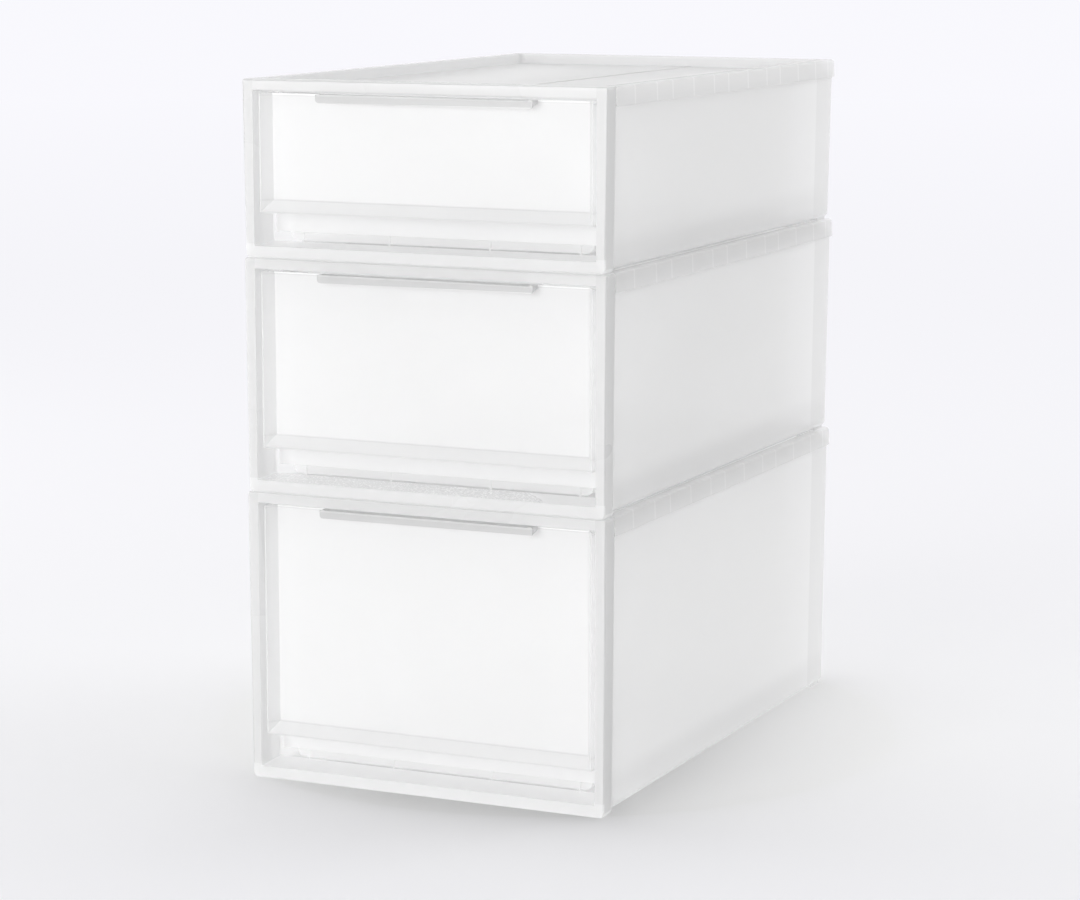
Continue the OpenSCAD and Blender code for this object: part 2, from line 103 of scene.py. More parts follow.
class Sheet:
    """A shader tree that nodes are laid out and wired in."""

    COLUMN_W, ROW_H, ROWS = 190, 170, 4

    def __init__(self, tree: bpy.types.NodeTree) -> None:
        """Start on a tree.

        Args:
            tree: The node tree that new nodes go into.
        """
        self.tree = tree
        self.column = 0

    def add(self, kind: str, **inputs: object) -> bpy.types.Node:
        """Place a node and set its unlinked inputs.

        Args:
            kind: Blender's type name of the node.
            **inputs: Input values by socket name, with spaces written as underscores.

        Returns:
            The new node.
        """
        node = self.tree.nodes.new(kind)
        node.location = (self.column * self.COLUMN_W, -(self.column % self.ROWS) * self.ROW_H)
        self.column += 1
        for name, value in inputs.items():
            node.inputs[name.replace("_", " ")].default_value = value
        return node

    def wire(self, source: bpy.types.NodeSocket, target: bpy.types.NodeSocket) -> None:
        """Link two sockets."""
        self.tree.links.new(source, target)

    def feed(self, value: object, target: bpy.types.NodeSocket) -> None:
        """Give a socket its value.

        Args:
            value: A socket to link, or the number or numbers to set.
            target: The socket that gets it.
        """
        if isinstance(value, bpy.types.NodeSocket):
            self.wire(value, target)
        else:
            target.default_value = value

    def place(self) -> bpy.types.NodeSocket:
        """Position on the piece, in the shared frame."""
        return self.add("ShaderNodeTexCoord").outputs["Object"]

    def parts(self, vector: bpy.types.NodeSocket) -> bpy.types.NodeOutputs:
        """Split a vector into the outputs X, Y and Z."""
        split = self.add("ShaderNodeSeparateXYZ")
        self.wire(vector, split.inputs[0])
        return split.outputs

    def math(self, operation: str, first: object, second: object = 0.0) -> bpy.types.NodeSocket:
        """Place a Math node.

        Args:
            operation: Name of the sum, such as MULTIPLY.
            first: A socket or a number.
            second: A socket or a number.

        Returns:
            The socket with the result.
        """
        node = self.add("ShaderNodeMath")
        node.operation = operation
        self.feed(first, node.inputs[0])
        self.feed(second, node.inputs[1])
        return node.outputs[0]

    def vector(self, operation: str, first: bpy.types.NodeSocket,
               second: Tone = (0.0, 0.0, 0.0)) -> bpy.types.NodeSocket:
        """Place a Vector Math node.

        Args:
            operation: Name of the sum, such as LENGTH.
            first: The vector.
            second: The second vector, where the sum has one.

        Returns:
            The socket with the result.
        """
        node = self.add("ShaderNodeVectorMath")
        node.operation = operation
        self.wire(first, node.inputs[0])
        node.inputs[1].default_value = second
        return node.outputs["Value" if operation == "LENGTH" else "Vector"]

    def span(self, value: bpy.types.NodeSocket, low: float, high: float,
             start: float = 0.0, end: float = 1.0) -> bpy.types.NodeSocket:
        """Stretch a range of a value over another range, smoothly and held at both ends.

        Args:
            value: The socket to read.
            low: Value that gives start.
            high: Value that gives end.
            start: Result at low.
            end: Result at high.

        Returns:
            The socket with the result.
        """
        node = self.add("ShaderNodeMapRange", From_Min=low, From_Max=high, To_Min=start, To_Max=end)
        node.interpolation_type = "SMOOTHSTEP"
        self.wire(value, node.inputs["Value"])
        return node.outputs["Result"]

    def laid(self, base: bpy.types.NodeSocket | Tone, top: Tone,
             mask: bpy.types.NodeSocket) -> bpy.types.NodeSocket:
        """Lay a colour over another where a mask is set.

        Args:
            base: The colour below.
            top: The colour above.
            mask: How much of the upper colour shows.

        Returns:
            The socket with the colour.
        """
        mix = self.add("ShaderNodeMix")
        mix.data_type = "RGBA"
        lower, upper = (s for s in mix.inputs if s.type == "RGBA")
        self.feed(base if isinstance(base, bpy.types.NodeSocket) else (*base, 1.0), lower)
        self.feed((*top, 1.0), upper)
        self.wire(mask, mix.inputs["Factor"])
        return next(s for s in mix.outputs if s.type == "RGBA")

    def either(self, share: object, first: bpy.types.NodeSocket,
               second: bpy.types.NodeSocket) -> bpy.types.NodeSocket:
        """Mix two shaders.

        Args:
            share: The second shader's share, a socket or a number.
            first: The first shader.
            second: The second shader.

        Returns:
            The socket with the mixed shader.
        """
        mix = self.add("ShaderNodeMixShader")
        self.feed(share, mix.inputs["Fac"])
        self.wire(first, mix.inputs[1])
        self.wire(second, mix.inputs[2])
        return mix.outputs["Shader"]


GroupParts = tuple[bpy.types.NodeTree, Sheet, bpy.types.Node, bpy.types.Node]


class EffectGroups:
    """The effects that the plastics share, each built once as a node group."""

    # Ribs after the first one of each pitch along the sides, and each side of the middle behind
    SIDE_RIBS = (56.0 * MM, 96.5 * MM)
    BACK_RIBS = (20.25 * MM, 60.75 * MM, 116.75 * MM, 157.25 * MM)
    # Just under the floor of the upper cases, and the height of the case below each
    CASE_FLOORS = ((299.0 * MM, 300.0 * MM), (539.0 * MM, 240.0 * MM))

    def __init__(self) -> None:
        """Build all the groups."""
        self.satin = self._satin()
        self.melt = self._melt()
        self.rubbing = self._rubbing()
        self.dust = self._dust()
        self.ribs = self._ribs()
        # Painted shade on the cases' walls
        self.depth = self._painted_wall_shade()

    @staticmethod
    def _group(name: str, inputs: dict[str, float], outputs: list[str]) -> GroupParts:
        """Start a group with number sockets.

        Args:
            name: Name of the group.
            inputs: Default value of each input socket by name.
            outputs: Names of the output sockets.

        Returns:
            The tree, a sheet on it, its input node and its output node.
        """
        tree = bpy.data.node_groups.new(name, "ShaderNodeTree")
        for label, value in inputs.items():
            socket = tree.interface.new_socket(label, in_out="INPUT", socket_type="NodeSocketFloat")
            socket.default_value = value
        for label in outputs:
            tree.interface.new_socket(label, in_out="OUTPUT", socket_type="NodeSocketFloat")
        sheet = Sheet(tree)
        return tree, sheet, sheet.add("NodeGroupInput"), sheet.add("NodeGroupOutput")

    def _satin(self) -> bpy.types.NodeTree:
        """Fine spark-eroded grain of the mould over a slow orange-peel wave.

        Returns:
            The group, with Height as its output.
        """
        tree, sheet, given, result = self._group(
            "satin_grain", {"Grain": 2600.0, "Wave": 55.0}, ["Height"])
        place = sheet.place()
        fine = sheet.add("ShaderNodeTexNoise", Detail=3.0, Roughness=0.6)
        slow = sheet.add("ShaderNodeTexNoise", Detail=1.0, Roughness=0.4)
        for noise, label in ((fine, "Grain"), (slow, "Wave")):
            sheet.wire(place, noise.inputs["Vector"])
            sheet.wire(given.outputs[label], noise.inputs["Scale"])
        heavy = sheet.math("MULTIPLY", slow.outputs[0], 2.2)
        sheet.wire(sheet.math("ADD", fine.outputs[0], heavy), result.inputs["Height"])
        return tree

    def _melt(self) -> bpy.types.NodeTree:
        """Cloudy density of the milky melt, drawn out in the direction it flowed.

        Returns:
            The group, with Cloud as its output.
        """
        tree, sheet, given, result = self._group("melt_cloud", {"Size": 3.0}, ["Cloud"])
        place = sheet.place()
        drawn = sheet.add("ShaderNodeMapping")
        drawn.inputs["Scale"].default_value = (1.0, 0.55, 1.3)
        sheet.wire(place, drawn.inputs["Vector"])
        cloud = sheet.add("ShaderNodeTexNoise", Detail=4.0, Roughness=0.52, Distortion=0.6)
        sheet.wire(drawn.outputs["Vector"], cloud.inputs["Vector"])
        sheet.wire(given.outputs["Size"], cloud.inputs["Scale"])
        sheet.wire(sheet.span(cloud.outputs[0], 0.32, 0.68), result.inputs["Cloud"])
        return tree

    def _rubbing(self) -> bpy.types.NodeTree:
        """Hairline rubs from sliding and wiping, in two crossing directions.

        Returns:
            The group, with Mask as its output.
        """
        tree, sheet, given, result = self._group("rub_lines", {"Amount": 0.4}, ["Mask"])
        place = sheet.place()
        total: bpy.types.NodeSocket | float = 0.0
        for turn, stretch in ((0.35, (260.0, 6.0, 22.0)), (-0.5, (18.0, 7.0, 310.0))):
            drawn = sheet.add("ShaderNodeMapping")
            drawn.inputs["Scale"].default_value = stretch
            drawn.inputs["Rotation"].default_value = (turn * 0.3, turn * 0.2, turn)
            sheet.wire(place, drawn.inputs["Vector"])
            lines = sheet.add("ShaderNodeTexNoise", Scale=1.0, Detail=2.0, Roughness=0.7)
            sheet.wire(drawn.outputs["Vector"], lines.inputs["Vector"])
            total = sheet.math("ADD", sheet.span(lines.outputs[0], 0.66, 0.74), total)
        patch = sheet.add("ShaderNodeTexNoise", Scale=9.0, Detail=1.0)
        sheet.wire(place, patch.inputs["Vector"])
        broken = sheet.math("MULTIPLY", total, sheet.span(patch.outputs[0], 0.5, 0.68))
        sheet.wire(sheet.math("MULTIPLY", broken, given.outputs["Amount"]), result.inputs["Mask"])
        return tree

    def _dust(self) -> bpy.types.NodeTree:
        """Thin dust that settles on what faces up.

        Returns:
            The group, with Mask as its output.
        """
        tree, sheet, given, result = self._group("settled_dust", {"Amount": 0.3}, ["Mask"])
        place = sheet.place()
        speck = sheet.add("ShaderNodeTexNoise", Scale=420.0, Detail=2.0, Roughness=0.8)
        drift = sheet.add("ShaderNodeTexNoise", Scale=5.0, Detail=2.0)
        sheet.wire(place, speck.inputs["Vector"])
        sheet.wire(place, drift.inputs["Vector"])
        upward = sheet.parts(sheet.add("ShaderNodeNewGeometry").outputs["Normal"])["Z"]
        lying = sheet.span(upward, 0.6, 0.98)
        spread = sheet.math("MULTIPLY", sheet.span(drift.outputs[0], 0.35, 0.7), lying)
        flecks = sheet.math("MULTIPLY", sheet.span(speck.outputs[0], 0.5, 0.75), spread)
        sheet.wire(sheet.math("MULTIPLY", flecks, given.outputs["Amount"]), result.inputs["Mask"])
        return tree

    def _ribs(self) -> bpy.types.NodeTree:
        """Cross ribs inside the hollow rim, which show through its thin walls as pale lines.

        Returns:
            The group, with Mask as its output.
        """
        tree, sheet, given, result = self._group(
            "rim_rib_lines",
            {"Width": 1.5 * MM, "Start": 257.0 * MM, "Pitch": 152.5 * MM, "Side": 186.0 * MM},
            ["Mask"])
        pitch = given.outputs["Pitch"]
        place = sheet.parts(sheet.place())
        # Four pitches more keep the number positive, and leave the remainder as it is
        from_first = sheet.math("ADD", sheet.math("ADD", place["Y"], given.outputs["Start"]),
                                sheet.math("MULTIPLY", pitch, 4.0))
        along = sheet.math("MODULO", from_first, pitch)
        side_gap = sheet.math("MINIMUM", along, sheet.math("SUBTRACT", pitch, along))
        for step in self.SIDE_RIBS:
            off = sheet.math("ABSOLUTE", sheet.math("SUBTRACT", along, step))
            side_gap = sheet.math("MINIMUM", side_gap, off)
        across = sheet.math("ABSOLUTE", place["X"])
        back_gap: bpy.types.NodeSocket | float = 1.0
        for step in self.BACK_RIBS:
            off = sheet.math("ABSOLUTE", sheet.math("SUBTRACT", across, step))
            back_gap = sheet.math("MINIMUM", off, back_gap)
        at_side = sheet.math("GREATER_THAN", across, given.outputs["Side"])
        gap = sheet.math("ADD", sheet.math("MULTIPLY", side_gap, at_side),
                         sheet.math("MULTIPLY", back_gap, sheet.math("SUBTRACT", 1.0, at_side)))
        close = sheet.math("DIVIDE", gap, given.outputs["Width"])
        sheet.wire(sheet.span(close, 0.55, 1.5, 1.0, 0.0), result.inputs["Mask"])
        return tree

    def _painted_wall_shade(self) -> bpy.types.NodeTree:
        """Painted shade on a case's wall: a band low down by the runner bed, a darker band at each
        case's base, and the part behind the drawer.

        Returns:
            The group, with Bed, Seam and Rear as its outputs.
        """
        tree, sheet, given, result = self._group(
            "wall_painted_shade", {"BedShade": 40.0 * MM, "Seam": 2.5 * MM, "RearShade": 268.0 * MM},
            ["BedShade", "Seam", "RearShade"])
        place = sheet.parts(sheet.place())
        height = place["Z"]
        for floor, below in self.CASE_FLOORS:
            above = sheet.math("GREATER_THAN", place["Z"], floor)
            height = sheet.math("SUBTRACT", height, sheet.math("MULTIPLY", above, below))
        # A band of painted shade low down, where the runner bed lies behind the wall
        bed = sheet.math("DIVIDE", height, given.outputs["BedShade"])
        sheet.wire(sheet.span(bed, 0.55, 1.15, 1.0, 0.0), result.inputs["BedShade"])
        # A darker band of painted shade at the base of each case
        base_shade = sheet.math("DIVIDE", height, given.outputs["Seam"])
        sheet.wire(sheet.span(base_shade, 0.8, 1.6, 1.0, 0.0), result.inputs["Seam"])
        # Painted shade on the part of the wall behind the drawer
        behind = sheet.math("SUBTRACT", place["Y"], given.outputs["RearShade"])
        sheet.wire(sheet.span(behind, -1.5 * MM, 2.0 * MM), result.inputs["RearShade"])
        return tree


# ---------------------------------------------------------------- finishes


def milky(level: float) -> Tone:
    """Near-neutral white of the plastic at a level of density."""
    return level, level, level * 1.001


PLASTIC_IOR = 1.49
DUST_TONE: Tone = (0.80, 0.79, 0.77)
RIB_TONE: Tone = (1.0, 1.0, 1.0)
# Painted shade on a case's wall: output of the depth group, its share, its tone
PAINTED_WALL_SHADES = (("BedShade", 0.30, milky(0.74)), ("Seam", 0.5, milky(0.45)), ("RearShade", 0.5, milky(0.80)))


@dataclass(frozen=True)
class MilkyPlastic:
    """One moulding's milky polypropylene.

    clear is the share of light that goes straight through a face, and glow the share that a
    face passes on scattered. ribs is how strongly the ribs behind the wall show, and depth how
    strongly the painted shade on a case's wall shows. rubs and dust also make a face rougher by
    rub_matt and dust_matt, and a rub lies rub_cut deep in a grain of 1.
    """

    label: str
    slot: str
    milk: Tone
    shade: Tone
    clear: float
    glow: float
    gloss: tuple[float, float]
    grain: float = 2600.0
    wave: float = 55.0
    relief: float = 0.05
    cloud: float = 3.0
    rubs: float = 0.35
    dust: float = 0.2
    ribs: float = 0.0
    depth: float = 0.0
    rub_matt: float = 0.22
    dust_matt: float = 0.4
    rub_cut: float = 0.8
    grain_height: float = 0.4 * MM

    def make(self, effects: EffectGroups) -> bpy.types.Material:
        """Build the material.

        Args:
            effects: The shared node groups.

        Returns:
            The material, ready for a slot.
        """
        material = bpy.data.materials.new(self.label)
        material.use_nodes = True
        tree = material.node_tree
        tree.nodes.clear()
        sheet = Sheet(tree)
        output = sheet.add("ShaderNodeOutputMaterial")
        cloud = self._group(sheet, effects.melt, Size=self.cloud).outputs["Cloud"]
        rubs = self._group(sheet, effects.rubbing, Amount=self.rubs).outputs["Mask"]
        dust = self._group(sheet, effects.dust, Amount=self.dust).outputs["Mask"]
        colour = self._colour(sheet, effects, cloud, dust)
        normal = self._normal(sheet, effects, rubs)

        skin = sheet.add("ShaderNodeBsdfPrincipled", IOR=PLASTIC_IOR, Specular_IOR_Level=0.5)
        sheet.wire(colour, skin.inputs["Base Color"])
        sheet.wire(self._roughness(sheet, cloud, rubs, dust), skin.inputs["Roughness"])
        sheet.wire(normal, skin.inputs["Normal"])
        passing = sheet.add("ShaderNodeBsdfTranslucent")
        sheet.wire(colour, passing.inputs["Color"])
        sheet.wire(normal, passing.inputs["Normal"])
        near = sheet.either(self.glow, skin.outputs["BSDF"], passing.outputs["BSDF"])

        seen = sheet.add("ShaderNodeLightPath").outputs["Is Camera Ray"]
        body = sheet.either(seen, self._plain(sheet), near)
        straight = sheet.add("ShaderNodeBsdfTransparent").outputs["BSDF"]
        wall = sheet.either(self.clear, body, straight)
        # Light that has entered a wall leaves it by the far face unhindered
        leaving = sheet.add("ShaderNodeNewGeometry").outputs["Backfacing"]
        sheet.wire(sheet.either(leaving, wall, straight), output.inputs["Surface"])
        return material

    def _colour(self, sheet: Sheet, effects: EffectGroups, cloud: bpy.types.NodeSocket,
                dust: bpy.types.NodeSocket) -> bpy.types.NodeSocket:
        """Colour of the plastic with its clouds, its painted wall shade, and its dust.

        Args:
            sheet: The material's sheet.
            effects: The shared node groups.
            cloud: How cloudy the melt is.
            dust: How dusty the face is.

        Returns:
            The socket with the colour.
        """
        colour = sheet.laid(self.milk, self.shade, cloud)
        if self.ribs:
            lines = self._group(sheet, effects.ribs).outputs["Mask"]
            colour = sheet.laid(colour, RIB_TONE, sheet.math("MULTIPLY", lines, self.ribs))
        # Painted shade on a case's wall, laid over the plastic's colour
        if self.depth:
            inside = self._group(sheet, effects.depth)
            for part, share, tone in PAINTED_WALL_SHADES:
                mask = sheet.math("MULTIPLY", inside.outputs[part], share * self.depth)
                colour = sheet.laid(colour, tone, mask)
        return sheet.laid(colour, DUST_TONE, dust)

    def _roughness(self, sheet: Sheet, cloud: bpy.types.NodeSocket, rubs: bpy.types.NodeSocket,
                   dust: bpy.types.NodeSocket) -> bpy.types.NodeSocket:
        """Roughness of the face, between the two ends of gloss, and more where it is worn.

        Args:
            sheet: The material's sheet.
            cloud: How cloudy the melt is.
            rubs: How rubbed the face is.
            dust: How dusty the face is.

        Returns:
            The socket with the roughness.
        """
        rough = sheet.span(cloud, 0.0, 1.0, *self.gloss)
        rubbed = sheet.math("ADD", rough, sheet.math("MULTIPLY", rubs, self.rub_matt))
        return sheet.math("ADD", rubbed, sheet.math("MULTIPLY", dust, self.dust_matt))

    def _normal(self, sheet: Sheet, effects: EffectGroups,
                rubs: bpy.types.NodeSocket) -> bpy.types.NodeSocket:
        """Normal of the face with the mould's grain and the rubs.

        Args:
            sheet: The material's sheet.
            effects: The shared node groups.
            rubs: How rubbed the face is.

        Returns:
            The socket with the normal.
        """
        satin = self._group(sheet, effects.satin, Grain=self.grain, Wave=self.wave)
        cut = sheet.math("MULTIPLY", rubs, -self.rub_cut)
        height = sheet.math("ADD", satin.outputs["Height"], cut)
        bump = sheet.add("ShaderNodeBump", Strength=self.relief, Distance=self.grain_height)
        sheet.wire(height, bump.inputs["Height"])
        return bump.outputs["Normal"]

    def _plain(self, sheet: Sheet) -> bpy.types.NodeSocket:
        """Even plastic for light on its way from wall to wall, which needs no fine marks.

        Args:
            sheet: The material's sheet.

        Returns:
            The socket with the shader.
        """
        even = (*(0.5 * (a + b) for a, b in zip(self.milk, self.shade)), 1.0)
        turned, passed = (sheet.add(kind, Color=even).outputs["BSDF"]
                          for kind in ("ShaderNodeBsdfDiffuse", "ShaderNodeBsdfTranslucent"))
        return sheet.either(self.glow, turned, passed)

    @staticmethod
    def _group(sheet: Sheet, tree: bpy.types.NodeTree, **values: float) -> bpy.types.Node:
        """Place a shared group with its own values.

        Args:
            sheet: The material's sheet.
            tree: The group.
            **values: Values of the group's inputs.

        Returns:
            The group's node.
        """
        node = sheet.add("ShaderNodeGroup")
        node.node_tree = tree
        for label, value in values.items():
            node.inputs[label].default_value = value
        return node


class Zone(Enum):
    """Where a moulding has one tone: mostly one thickness of plastic, while some zones carry
    painted light and some painted shade.
    """

    BODY_WALL = "body_wall"
    TRAY_LID = "tray_lid"
    TRAY_RIM = "tray_rim"
    TRAY_WELL = "tray_well"
    FRAME_RAILS = "frame_rails"
    FRAME_SIDES = "frame_sides"
    FRAME_FLANKS = "frame_flanks"
    FRAME_SILL = "frame_sill"
    SILL_TOP = "sill_top"
    TUB_WALL = "tub_wall"
    FRONT_PANEL = "front_panel"
    FRONT_EDGE = "front_edge"
    FRONT_APRON = "front_apron"
    PANEL_BEAD = "panel_bead"
    PULL_LIP = "pull_lip"
    PULL_PLATE = "pull_plate"


class Finishes:
    """The plastics of the stack, one for each zone of one tone."""

    def __init__(self) -> None:
        """Build the shared groups and the materials."""
        effects = EffectGroups()
        self.recipes: dict[Zone, MilkyPlastic] = {
            Zone.BODY_WALL: MilkyPlastic(
                "case_shell", "case_plastic", milky(0.98), milky(0.955),
                clear=0.30, glow=0.52, gloss=(0.30, 0.42), cloud=2.4, depth=1.0),
            # Painted shade: the tray's flat lid is darker than the rest of the panel
            Zone.TRAY_LID: MilkyPlastic(
                "tray_lid", "panel_plastic", milky(0.80), milky(0.77),
                clear=0.10, glow=0.28, gloss=(0.28, 0.40)),
            Zone.TRAY_RIM: MilkyPlastic(
                "tray_rim", "panel_plastic", milky(0.845), milky(0.82),
                clear=0.42, glow=0.45, gloss=(0.28, 0.40), ribs=0.5),
            # Painted light: the rim's inward-facing walls are lighter than the rim
            Zone.TRAY_WELL: MilkyPlastic(
                "tray_well", "panel_plastic", milky(0.94), milky(0.92),
                clear=0.66, glow=0.42, gloss=(0.28, 0.40), ribs=1.0),
            Zone.FRAME_RAILS: MilkyPlastic(
                "frame_rails", "frame_plastic", milky(0.88), milky(0.87),
                clear=0.12, glow=0.42, gloss=(0.26, 0.36)),
            Zone.FRAME_SIDES: MilkyPlastic(
                "frame_sides", "frame_plastic", milky(0.82), milky(0.805),
                clear=0.10, glow=0.38, gloss=(0.26, 0.36)),
            # Painted shade: the frame's outer side faces are darker
            Zone.FRAME_FLANKS: MilkyPlastic(
                "frame_flanks", "frame_plastic", milky(0.735), milky(0.72),
                clear=0.06, glow=0.36, gloss=(0.26, 0.36)),
            Zone.FRAME_SILL: MilkyPlastic(
                "frame_sill", "frame_plastic", milky(0.91), milky(0.90),
                clear=0.14, glow=0.46, gloss=(0.26, 0.36)),
            # Painted light: the sill's upward face is lighter than the rest of the sill
            Zone.SILL_TOP: MilkyPlastic(
                "sill_top", "frame_plastic", milky(0.99), milky(0.985),
                clear=0.08, glow=0.24, gloss=(0.26, 0.36)),
            Zone.TUB_WALL: MilkyPlastic(
                "drawer_tray", "tub_plastic", milky(0.955), milky(0.94),
                clear=0.36, glow=0.50, gloss=(0.30, 0.42)),
            Zone.FRONT_PANEL: MilkyPlastic(
                "frosted_front", "front_plastic", milky(0.98), milky(0.965),
                clear=0.20, glow=0.50, gloss=(0.34, 0.46)),
            # Painted shade: thin dark lines at the ledge, at the top of its bevel and under the
            # bead
            Zone.FRONT_EDGE: MilkyPlastic(
                "front_edge", "front_plastic", milky(0.80), milky(0.78),
                clear=0.06, glow=0.30, gloss=(0.30, 0.40)),
            Zone.FRONT_APRON: MilkyPlastic(
                "front_apron", "front_plastic", milky(0.92), milky(0.90),
                clear=0.16, glow=0.46, gloss=(0.34, 0.46)),
            # Painted light: a bright strip along the panel's top beside the pull lip
            Zone.PANEL_BEAD: MilkyPlastic(
                "panel_bead", "front_plastic", milky(0.99), milky(0.985),
                clear=0.04, glow=0.30, gloss=(0.28, 0.38)),
            # Partly denser plastic, partly painted shade under the frame's rail: the pull lip is
            # darker
            Zone.PULL_LIP: MilkyPlastic(
                "pull_lip", "front_plastic", milky(0.65), milky(0.63),
                clear=0.08, glow=0.30, gloss=(0.28, 0.38)),
            Zone.PULL_PLATE: MilkyPlastic(
                "pull_plate", "front_plastic", milky(0.71), milky(0.69),
                clear=0.08, glow=0.30, gloss=(0.28, 0.38)),
        }
        self.materials = {zone: recipe.make(effects) for zone, recipe in self.recipes.items()}

    def dress(self, piece: bpy.types.Object, *zones: Zone) -> None:
        """Give a piece its plastics, one material slot for each zone.

        Args:
            piece: A CAD node's object or a new piece.
            *zones: The zones that the piece's faces are numbered by.
        """
        piece.data.materials.clear()
        for zone in zones:
            piece.data.materials.append(self.materials[zone])

    def dress_by(self, piece: bpy.types.Object, zones: list[Zone],
                 choose: Callable[[bpy.types.MeshPolygon], Zone]) -> None:
        """Give a piece its plastics and each face its own zone.

        Args:
            piece: The piece.
            zones: Every zone that the piece has, its main one first.
            choose: Names the zone of a face.
        """
        self.dress(piece, *zones)
        for face in piece.data.polygons:
            face.material_index = zones.index(choose(face))


# ---------------------------------------------------------------- mouldings


@dataclass(frozen=True)
class Border:
    """A plane across one axis, where one thickness zone ends."""

    axis: str
    place: float


def extent(node: bpy.types.Object) -> tuple[Vector, Vector]:
    """Find the box of a node's mesh.

    Args:
        node: The node's object.

    Returns:
        The box's low corner and high corner.
    """
    spots = [v.co for v in node.data.vertices]
    low = Vector(min(s[i] for s in spots) for i in range(3))
    high = Vector(max(s[i] for s in spots) for i in range(3))
    return low, high


@dataclass
class SoftEdge:
    """Small edge radius that the mould leaves, put on a merged copy of a CAD node's mesh."""

    radius: float = 0.5 * MM
    segments: int = 2
    sharp_from: float = math.radians(28.0)
    flat_to: float = math.radians(0.6)
    shaded_to: float = math.radians(32.0)
    onward_to: float = math.radians(35.0)
    room: float = 2.4
    merge: float = 0.004 * MM

    def copy_of(self, node: bpy.types.Object, name: str, borders: list[Border],
                reshape: Callable[[bmesh.types.BMesh], None] | None = None) -> bpy.types.Object:
        """Make a copy of a CAD node with its sharp edges softened.

        Args:
            node: The CAD node's object.
            name: Name of the new piece.
            borders: Planes that part the piece's thickness zones.
            reshape: What is done to the merged mesh before its edges are softened.

        Returns:
            The new piece, with its place in its mesh.
        """
        shape = bmesh.new()
        shape.from_mesh(node.data)
        bmesh.ops.remove_doubles(shape, verts=shape.verts, dist=self.merge)
        bmesh.ops.dissolve_limit(
            shape, angle_limit=self.flat_to, verts=shape.verts, edges=shape.edges,
            use_dissolve_boundaries=False, delimit=set())
        bmesh.ops.triangulate(
            shape, faces=shape.faces, quad_method="BEAUTY", ngon_method="EAR_CLIP")
        if reshape:
            reshape(shape)
        sharp = [e for e in shape.edges if self._sharp(e) and self._has_room(e)]
        bmesh.ops.bevel(
            shape, geom=sharp, offset=self.radius, offset_type="OFFSET", affect="EDGES",
            segments=self.segments, profile=0.5, material=-1, clamp_overlap=False,
            loop_slide=True)
        for border in borders:
            normal = Vector((0.0, 0.0, 0.0))
            normal["xyz".index(border.axis)] = 1.0
            bmesh.ops.bisect_plane(
                shape, geom=[*shape.verts, *shape.edges, *shape.faces], dist=0.001 * MM,
                plane_co=normal * border.place, plane_no=normal, clear_inner=False,
                clear_outer=False)
        mesh = bpy.data.meshes.new(name)
        shape.to_mesh(mesh)
        shape.free()
        for face in mesh.polygons:
            face.use_smooth = True
        mesh.set_sharp_from_angle(angle=self.shaded_to)
        piece = bpy.data.objects.new(name, mesh)
        bpy.context.scene.collection.objects.link(piece)
        # Flat faces keep their own normal up to the rounded edge
        level = piece.modifiers.new("flat_faces", "WEIGHTED_NORMAL")
        level.mode = "FACE_AREA"
        level.weight = 50
        level.keep_sharp = True
        return piece

    def _sharp(self, edge: bmesh.types.BMEdge) -> bool:
        """Whether an edge lies between two faces that meet at a clear angle."""
        return len(edge.link_faces) == 2 and edge.calc_face_angle(0.0) > self.sharp_from

    def _has_room(self, edge: bmesh.types.BMEdge) -> bool:
        """Whether nothing short leaves an edge sideways, where a radius would overlap.

        Args:
            edge: The edge to look at.

        Returns:
            True where the radius fits.
        """
        for corner in edge.verts:
            along = corner.co - edge.other_vert(corner).co
            for other in corner.link_edges:
                if other is edge or other.calc_length() > self.room * self.radius:
                    continue
                leaving = other.other_vert(corner).co - corner.co
                if not leaving.length or not along.length or leaving.angle(along) > self.onward_to:
                    return False
        return True


